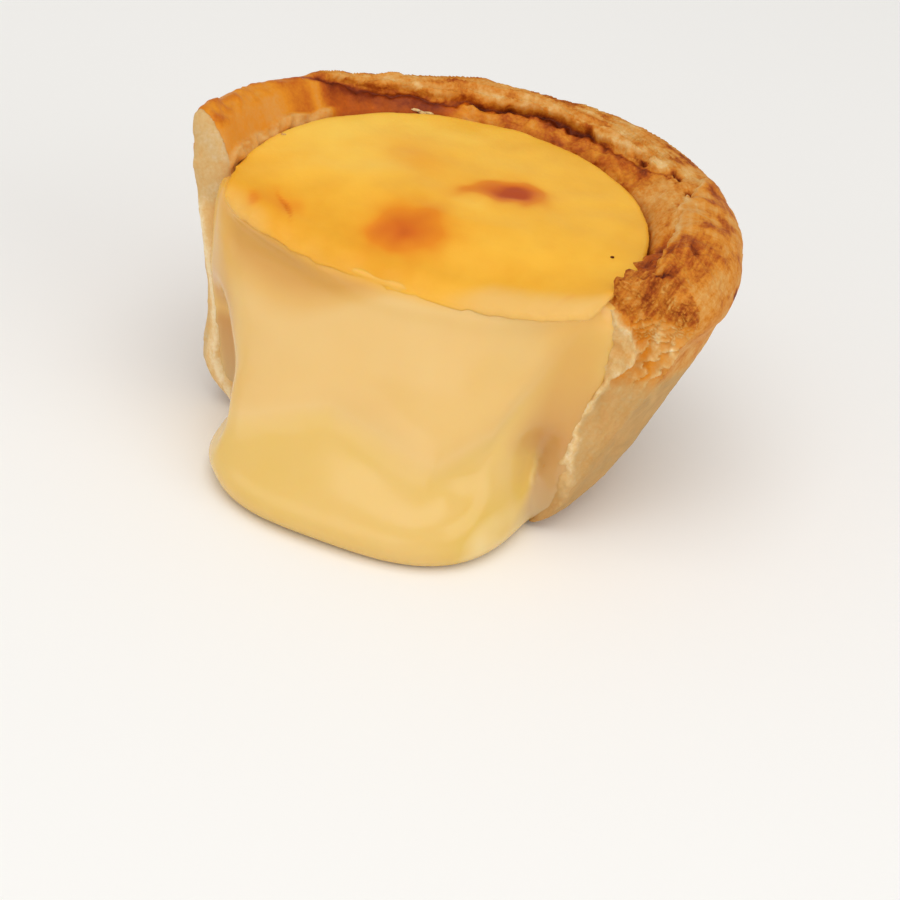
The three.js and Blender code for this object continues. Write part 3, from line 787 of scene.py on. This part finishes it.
def flow_marks(x, y, z):
    """Where the runny custard is ochre as painted shade, creamier as painted sheen, paler as a painted
    highlight, as yellow as the baked layer, or tan where it thins out and as painted shade on its sides.
    """
    under = custard_top(x, max(y, torn_edge(x))) - z
    front = step(CUT_Y + 0.5, CUT_Y - 2.5, y)
    # Painted shade: ochre under the baked layer's left front, in a band that narrows to the right.
    reach = mix(2.0, 11.0, step(4.0, -16.0, x)) * step(-29.0, -24.0, x)
    ochre_shade = front * step(reach + 1.0, 0.35 * reach, under) * step(8.0, -6.0, x)
    right_edge, left_edge, high = along(FLOW_RIGHT, z), along(FLOW_LEFT, z), step(9.0, 15.0, z)
    # Tan where it thins out over the pastry, and as painted shade along its right side and the upper part of
    # its left side, where they turn away.
    tan_and_painted_shade = step(right_edge - mix(1.0, 5.0, high), right_edge - mix(0.2, 1.0, high), x) * step(33.0, 26.0, z)
    tan_and_painted_shade += step(left_edge + 4.5, left_edge + 0.8, x) * step(14.0, 18.0, z) * step(33.0, 28.0, z)
    tan_and_painted_shade = max(tan_and_painted_shade, step(left_edge + 0.3, left_edge - 0.5, x) * step(16.0, 13.0, z))
    tan_and_painted_shade -= 0.5 * step(along(SMEAR_LEFT, z) + 1.6, along(SMEAR_LEFT, z), x)
    tan_and_painted_shade -= 0.45 * step(along(SMEAR_RIGHT, z) - 2.2, along(SMEAR_RIGHT, z) - 0.2, x) * step(20.0, 24.0, z)
    # Creamier above the line where the sheen ends, as painted sheen, and paler low on the right, as a painted
    # highlight.
    depth = 0.06 + 0.76 * ochre_shade + 0.2 * step(-2.0, 2.0, z - along(WAVE, x))
    depth -= 0.14 * step(14.0, 20.0, x) * step(11.0, 5.0, z)
    # Yellow at the baked layer's edge, and further down at both of its ends.
    at_left = step(-18.0, -25.0, x)
    over_seam = z - along(SEAM_LINE, x) - 1.2 * step(6.0, 14.0, x)
    yolk = step(-0.8, 0.9, over_seam) * step(CUT_Y + 0.5, CUT_Y - 0.5, y)
    yolk = max(yolk, 0.5 * step(17.0, 24.0, x) * step(9.0, 3.0, under), 0.6 * at_left * step(5.5, 2.0, under))
    return {"depth": depth, "yolk": yolk, "tan_and_painted_shade": min(1.0, max(0.0, tan_and_painted_shade))}


def runny_form(sizes, place, normal):
    """Relief of the runny custard."""
    x, y, z = place
    front = step(CUT_Y + 0.5, CUT_Y - 2.5, y)
    under = custard_top(x, max(y, torn_edge(x))) - z
    top = step(0.4, 0.8, normal.z) * step(24.0, 28.0, z)
    folds = lumps(x * 0.55, 0.0, z + 0.15 * x, 7.5, 4.0)
    slow = lumps(x, y, z, 14.0, 1.3)
    right_edge, left_edge = along(FLOW_RIGHT, z), along(FLOW_LEFT, z)
    over_wave = z - along(WAVE, x)
    wave = bell(over_wave - 2.5, 3.5) - bell(over_wave + 2.5, 3.0)
    hollow = bell(math.hypot((x + 16.5) * 0.75, z - 26.5), 6.0)
    dimple = bell(math.hypot(x - 16.6, z - 9.5), 2.2)
    left_end = mix(1.0, step(left_edge, left_edge + 4.0, x), step(12.0, 20.0, z))
    calm = front * left_end * step(right_edge - 2.0, right_edge - 5.5, x)
    relief = step(3.0, 8.0, z) * (sizes.fold * folds + sizes.wave * wave) + 0.4 * slow
    push = calm * (relief - sizes.hollow * hollow - 0.4 * dimple) * step(1.8, 4.5, under)
    move = normal * (push * step(0.4, 2.5, z)) + Vector((0.0, 0.0, 0.3 * top))
    # A little narrower at the lower left.
    left = step(-16.0, -20.0, x) * step(CUT_Y - 1.5, CUT_Y - 4.0, y)
    move.x += left * (1.5 * step(2.5, 6.0, z) * step(18.0, 12.0, z) - 0.5 * step(3.5, 2.0, z))
    return move, flow_marks(x, y, z)


FILM_CELL = 0.35  # height of a film's rows
FILM_COLUMNS = 31
FILM_THICKNESS = 4.0  # how far a film reaches into the pastry
FILM_SUNK = 0.5  # how far its outer cells lie under what it covers
FILM_PROUD = 0.2  # how far it stands over that elsewhere
RAYS_FROM = -40.0  # Y from which a film's places are looked for
RAYS_REACH = 38.0


def front_places(trees, places):
    """Y of the tart's front at rows of X and Z. It never falls back by more than 0.6 from row to row."""
    fronts = []
    for row in places:
        line = []
        for i, (x, z) in enumerate(row):
            start = Vector((x, RAYS_FROM, z)) * MM
            hits = [tree.ray_cast(start, Vector((0.0, 1.0, 0.0)), RAYS_REACH * MM)[0] for tree in trees]
            y = min((hit.y / MM for hit in hits if hit is not None), default=CUT_Y + 0.5)
            line.append(min(y, CUT_Y + 0.5, fronts[-1][i] + 0.6 if fronts else y))
        fronts.append(line)
    return fronts


def softened(grid, passes):
    """The grid's values, each drawn towards the mean of its neighbours, row by row."""
    soft = [list(row) for row in grid]
    last = len(soft[0]) - 1
    for _ in range(passes):
        for j, row in enumerate(soft):
            below, above = soft[max(0, j - 1)], soft[min(len(soft) - 1, j + 1)]
            row[:] = [
                0.25 * (row[max(0, i - 1)] + row[min(last, i + 1)] + below[i] + above[i])
                for i in range(last + 1)
            ]
    return soft


def add_film(shape, trees, places, passes, tapers, ramp_share):
    """A film of custard over the front of the tart that fills the corners there and ends flush with it.

    Places are rows of X and Z, from below. Tapers are the cells over which it ends on the left, the right,
    below and above. Where the ramp's share of a height is 1, it runs straight from edge to edge.
    """
    fronts = front_places(trees, places)
    soft = softened(fronts, passes)
    last_row, last_column = len(places) - 1, len(places[0]) - 1
    grid = bmesh.ops.create_grid(shape, x_segments=last_column, y_segments=last_row, size=1.0)["verts"]
    for count, vertex in enumerate(grid):
        j, i = divmod(count, last_column + 1)
        x, z = places[j][i]
        share = i / last_column
        ramp_y = mix(soft[j][0], soft[j][-1], share) - 0.5 * math.sin(math.pi * share)
        filled = min(soft[j][i], fronts[j][i])
        y = mix(filled, min(soft[j][i], ramp_y), ramp_share(z))
        cells = (i, last_column - i, j, last_row - j)
        inner = min(cells_in / taper for cells_in, taper in zip(cells, tapers))
        y -= mix(-FILM_SUNK, FILM_PROUD, step(0.0, 1.0, inner))
        vertex.co = Vector((x, y, z)) * MM
    faces = list(dict.fromkeys(face for vertex in grid for face in vertex.link_faces))
    made = bmesh.ops.extrude_face_region(shape, geom=faces)["geom"]
    behind = [element for element in made if isinstance(element, bmesh.types.BMVert)]
    bmesh.ops.translate(shape, verts=behind, vec=Vector((0.0, FILM_THICKNESS, 0.0)) * MM)


def film_rows(inner, outer, low, high):
    """Rows of places between two lines of X by height."""
    last = round((high - low) / FILM_CELL)
    rows = []
    for j in range(last + 1):
        z = mix(low, high, j / last)
        rows.append([(mix(inner(z), outer(z), i / (FILM_COLUMNS - 1)), z) for i in range(FILM_COLUMNS)])
    return rows


def films(trees):
    """A mesh of the films that join the flow to the pastry at both ends, and to the baked custard."""
    shape = bmesh.new()
    left = film_rows(
        lambda z: along(SMEAR_LEFT, z) - 0.3,
        lambda z: along(FLOW_LEFT, z) + mix(0.3, 3.8, step(14.0, 20.0, z)),
        3.0,
        33.0,
    )
    add_film(shape, trees, left, 12, (3, 5, 6, 6), lambda z: step(15.0, 22.0, z))
    right = film_rows(
        lambda z: along(FLOW_RIGHT, z) - mix(1.2, 5.5, step(9.0, 17.0, z)),
        lambda z: along(SMEAR_RIGHT, z) + 0.3 - 1.2 * step(9.0, 3.0, z),
        1.5,
        32.5,
    )
    add_film(shape, trees, right, 14, (5, 4, 6, 6), lambda z: 0.7 * step(12.0, 18.0, z))
    # A strip below the seam, from its left to its right end.
    seam_xs = [-25.8 + 0.4 * i for i in range(128)]
    seam = [[(x, along(SEAM_LINE, x) - 3.2 + FILM_CELL * j) for x in seam_xs] for j in range(13)]
    add_film(shape, trees, seam, 8, (6, 6, 4, 4), lambda z: 0.0)
    bmesh.ops.recalc_face_normals(shape, faces=shape.faces)
    return mesh_of(shape, "films")


# ---- Crumbs ----


def surface_of(piece):
    return BVHTree.FromObject(piece, bpy.context.evaluated_depsgraph_get())


# Crumbs on the custard and the rim: x, y, size along X, size along Y and browning.
CRUMBS = (
    (-14.5, 24.2, 0.75, 0.3, 0.15), (-13.6, 24.5, 0.6, 0.35, 0.2), (-12.8, 24.9, 0.7, 0.28, 0.2),
    (23.0, 1.7, 0.26, 0.22, 1.0), (-25.0, 6.0, 0.4, 0.25, 0.35),
)


def crumbs(surfaces):
    shape = bmesh.new()
    for name in ("bake_and_painted_light", "butter", "damp_and_painted_shade"):
        shape.verts.layers.float.new(name)
    for i, (x, y, long, wide, bake_and_painted_light) in enumerate(CRUMBS):
        hits = [tree.ray_cast(Vector((x, y, 60.0)) * MM, Vector((0.0, 0.0, -1.0)))[0] for tree in surfaces]
        top = max(hit.z for hit in hits if hit is not None)
        made = bmesh.ops.create_icosphere(shape, subdivisions=3, radius=1.0)["verts"]
        for vertex in made:
            rough = 1.0 + 0.45 * noise.noise(vertex.co * 1.9 + Vector((i * 5.0, 0.0, 0.0)))
            size = Vector((long, wide, 0.6 * wide))
            vertex.co = Vector((x * MM, y * MM, top)) + vertex.co * rough * size * MM
            for name, value in (("bake_and_painted_light", bake_and_painted_light), ("butter", 0.2), ("damp_and_painted_shade", 0.0)):
                vertex[shape.verts.layers.float[name]] = value
    return new_object("crumbs", mesh_of(shape, "crumbs"))


# ---- Settings ----


def length(name, description, default):
    return FloatProperty(name=name, description=f"{description}, in mm", default=default)


def degrees(name, description, default):
    return FloatProperty(name=name, description=f"{description}, in degrees", default=default)


class CrustSettings(bpy.types.PropertyGroup):
    cell: length("Cell", "Largest cells of the crust's mesh", 0.88)
    layer_relief: length("Layers", "Relief of the rim's layers", 0.4)
    gap_depth: length("Gap", "Depth of the gap behind the ledge", 1.1)
    lip: length("Lip", "Rise of the rim's layers outside that gap", 0.45)
    overhang: length("Overhang", "Reach over the custard at the right", 1.7)


class CustardSettings(bpy.types.PropertyGroup):
    baked_cell: length("Baked cell", "Cells of the baked layer's mesh", 0.4)
    runny_cell: length("Runny cell", "Cells of the runny custard's mesh", 0.5)
    swell: length("Swell", "Unevenness of the baked top", 0.3)
    drape: length("Drape", "How far its front edge hangs down", 1.3)
    rise: length("Rise", "How far it rises at the back", 0.6)
    overlap: length("Overlap", "How far it laps over the flow", 1.5)
    fold: length("Folds", "Height of the flow's slow folds", 0.25)
    wave: length("Wave", "Height of the flow's slope over its foot", 0.5)
    hollow: length("Hollow", "Depth of the hollow at the flow's upper left", 1.2)


class StageSettings(bpy.types.PropertyGroup):
    floor_colour: FloatVectorProperty(
        name="Floor", description="Colour of the floor", subtype="COLOR", default=linear("#F7F5F1")
    )
    focal_length: length("Focal length", "Of the camera's lens", 111.5)
    distance: length("Distance", "From the camera to the tart", 350.0)
    azimuth: degrees("Azimuth", "To the right of the cut's front", 19.9)
    elevation: degrees("Elevation", "Above the table", 32.0)
    roll: degrees("Roll", "Of the camera", 8.3)


# ---- Operators ----


class EGGTART_OT_crust(bpy.types.Operator):
    """Makes the flaky crust, with its torn end and the layers of its rim"""

    bl_idname = "eggtart.crust"
    bl_label = "Crust"

    def execute(self, context):
        sizes = context.scene.eggtart_crust
        finer = ((shows_well, shows_rim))
        crust = refined_copy("pastry_shell", "crust", sizes.cell, 3, *finer)
        sculpt(crust, crust_form, sizes)
        finish_piece(crust, baked_pastry(), "pastry", "pastry_shell")
        return {"FINISHED"}


class EGGTART_OT_baked_custard(bpy.types.Operator):
    """Makes the baked custard on top, with its browned spots"""

    bl_idname = "eggtart.baked_custard"
    bl_label = "Baked custard"

    def execute(self, context):
        sizes = context.scene.eggtart_custard
        baked = refined_copy("baked_custard", "custard_skin", sizes.baked_cell, 6)
        sculpt(baked, baked_form, sizes)
        finish_piece(baked, set_custard(), "baked_custard", "baked_custard")
        return {"FINISHED"}


class EGGTART_OT_runny_custard(bpy.types.Operator):
    """Makes the runny custard that flows out of the cut, and its smears on the pastry"""

    bl_idname = "eggtart.runny_custard"
    bl_label = "Runny custard"

    def execute(self, context):
        sizes = context.scene.eggtart_custard
        made = [bpy.data.objects[name] for name in ("crust", "custard_skin")]
        joined = films([surface_of(piece) for piece in (*made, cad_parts["runny_custard"])])
        runny = refined_copy("runny_custard", "custard_flow", sizes.runny_cell, 14, joined=joined)
        sculpt(runny, runny_form, sizes)
        finish_piece(runny, molten_custard(), "runny_custard", "runny_custard")
        return {"FINISHED"}


class EGGTART_OT_crumbs(bpy.types.Operator):
    """Makes the crumbs and the speck on the custard"""

    bl_idname = "eggtart.crumbs"
    bl_label = "Crumbs"

    def execute(self, context):
        surfaces = [surface_of(bpy.data.objects[name]) for name in ("crust", "custard_skin")]
        finish_piece(crumbs(surfaces), bpy.data.materials["baked_pastry"], "pastry")
        return {"FINISHED"}


def direction(azimuth, elevation):
    """From the tart to the right of the cut's front and above the table, by angles in degrees."""
    a, e = math.radians(azimuth), math.radians(elevation)
    return Vector((math.sin(a) * math.cos(e), -math.cos(a) * math.cos(e), math.sin(e)))


# Where the middle of the custard's edge circle shows, from the view's middle, as shares of its width.
VIEW_X = -0.0131
VIEW_Y = 0.266
SENSOR = 36.0


def add_camera(stage):
    data = bpy.data.cameras.new("camera")
    data.lens = stage.focal_length
    data.sensor_width = SENSOR
    data.clip_start = 0.01
    camera = new_object("camera", data)
    roll = math.radians(stage.roll)
    back, level = direction(stage.azimuth, stage.elevation), direction(stage.azimuth + 90.0, 0.0)
    upright = back.cross(level)
    right = math.cos(roll) * level + math.sin(roll) * upright
    up = math.cos(roll) * upright - math.sin(roll) * level
    across = stage.distance * SENSOR / stage.focal_length
    aim = Vector((0.0, 0.0, CUSTARD_LEVEL)) - right * (VIEW_X * across) - up * (VIEW_Y * across)
    turned = Matrix((right, up, back)).transposed().to_4x4()
    camera.matrix_world = Matrix.Translation((aim + back * stage.distance) * MM) @ turned
    bpy.context.scene.camera = camera


# White lights round the tart: name, azimuth and elevation in degrees, width and height in metres, and watts.
SOFTBOXES = (
    ("front_left", -24.0, 13.0, 1.5, 0.5, 2.5),
    ("overhead", 10.0, 74.0, 0.8, 0.8, 3.7),
    ("right", 75.0, 24.0, 0.7, 0.5, 1.9),
)
SOFTBOX_DISTANCE = 0.9
FLOOR_HALF = 3.0
FLOOR_WAVES = 1000.0 / 12.0  # size of its unevenness, in mm
SURROUNDINGS = 0.53  # strength of the white light from all round


def add_softbox(name, azimuth, elevation, width, height, power):
    """A rectangular light on a sphere round the tart's middle, facing it."""
    data = bpy.data.lights.new(name, "AREA")
    data.shape = "RECTANGLE"
    data.size = width
    data.size_y = height
    data.energy = power
    light = new_object(name, data)
    back = direction(azimuth, elevation)
    light.location = Vector((0.0, 0.0, 0.02)) + back * SOFTBOX_DISTANCE
    light.rotation_euler = back.to_track_quat("Z", "Y").to_euler()
    light.visible_camera = False


class EGGTART_OT_stage(bpy.types.Operator):
    """Makes the floor, the soft lights, the pale surroundings and the camera"""

    bl_idname = "eggtart.stage"
    bl_label = "Stage"

    def execute(self, context):
        stage = context.scene.eggtart_stage
        shape = bmesh.new()
        bmesh.ops.create_grid(shape, x_segments=1, y_segments=1, size=FLOOR_HALF)
        floor = new_object("floor", mesh_of(shape, "floor"))
        floor.data.materials.append(painted_floor(stage.floor_colour))
        add_camera(stage)
        for softbox in SOFTBOXES:
            add_softbox(*softbox)
        world = bpy.data.worlds.new("surroundings")
        world.use_nodes = True
        background = world.node_tree.nodes["Background"]
        background.inputs["Color"].default_value = rgba("#FFFFFF")
        background.inputs["Strength"].default_value = SURROUNDINGS
        context.scene.world = world
        context.scene.view_settings.view_transform = "Standard"
        return {"FINISHED"}


class EGGTART_PT_panel(bpy.types.Panel):
    """Lists the tart's pieces"""

    bl_idname = "EGGTART_PT_panel"
    bl_label = "Egg tart"
    bl_space_type = "VIEW_3D"
    bl_region_type = "UI"
    bl_category = "Egg tart"

    def draw(self, context):
        for group in SETTINGS:
            settings, box = getattr(context.scene, group), self.layout.box()
            for name in settings.__annotations__:
                box.prop(settings, name)
        for operator in OPERATORS:
            self.layout.operator(operator.bl_idname)


SETTINGS = {
    "eggtart_crust": CrustSettings,
    "eggtart_custard": CustardSettings,
    "eggtart_stage": StageSettings,
}
OPERATORS = (
    EGGTART_OT_crust,
    EGGTART_OT_baked_custard,
    EGGTART_OT_runny_custard,
    EGGTART_OT_crumbs,
    EGGTART_OT_stage,
)


def register():
    for cls in (*SETTINGS.values(), *OPERATORS, EGGTART_PT_panel):
        bpy.utils.register_class(cls)
    for name, cls in SETTINGS.items():
        setattr(bpy.types.Scene, name, PointerProperty(type=cls))


def unregister():
    for name in SETTINGS:
        delattr(bpy.types.Scene, name)
    for cls in (EGGTART_PT_panel, *reversed(OPERATORS), *reversed(SETTINGS.values())):
        bpy.utils.unregister_class(cls)


def main():
    register()
    bpy.ops.eggtart.crust()
    bpy.ops.eggtart.baked_custard()
    bpy.ops.eggtart.runny_custard()
    bpy.ops.eggtart.crumbs()
    bpy.ops.eggtart.stage()


if __name__ == "__main__":
    main()
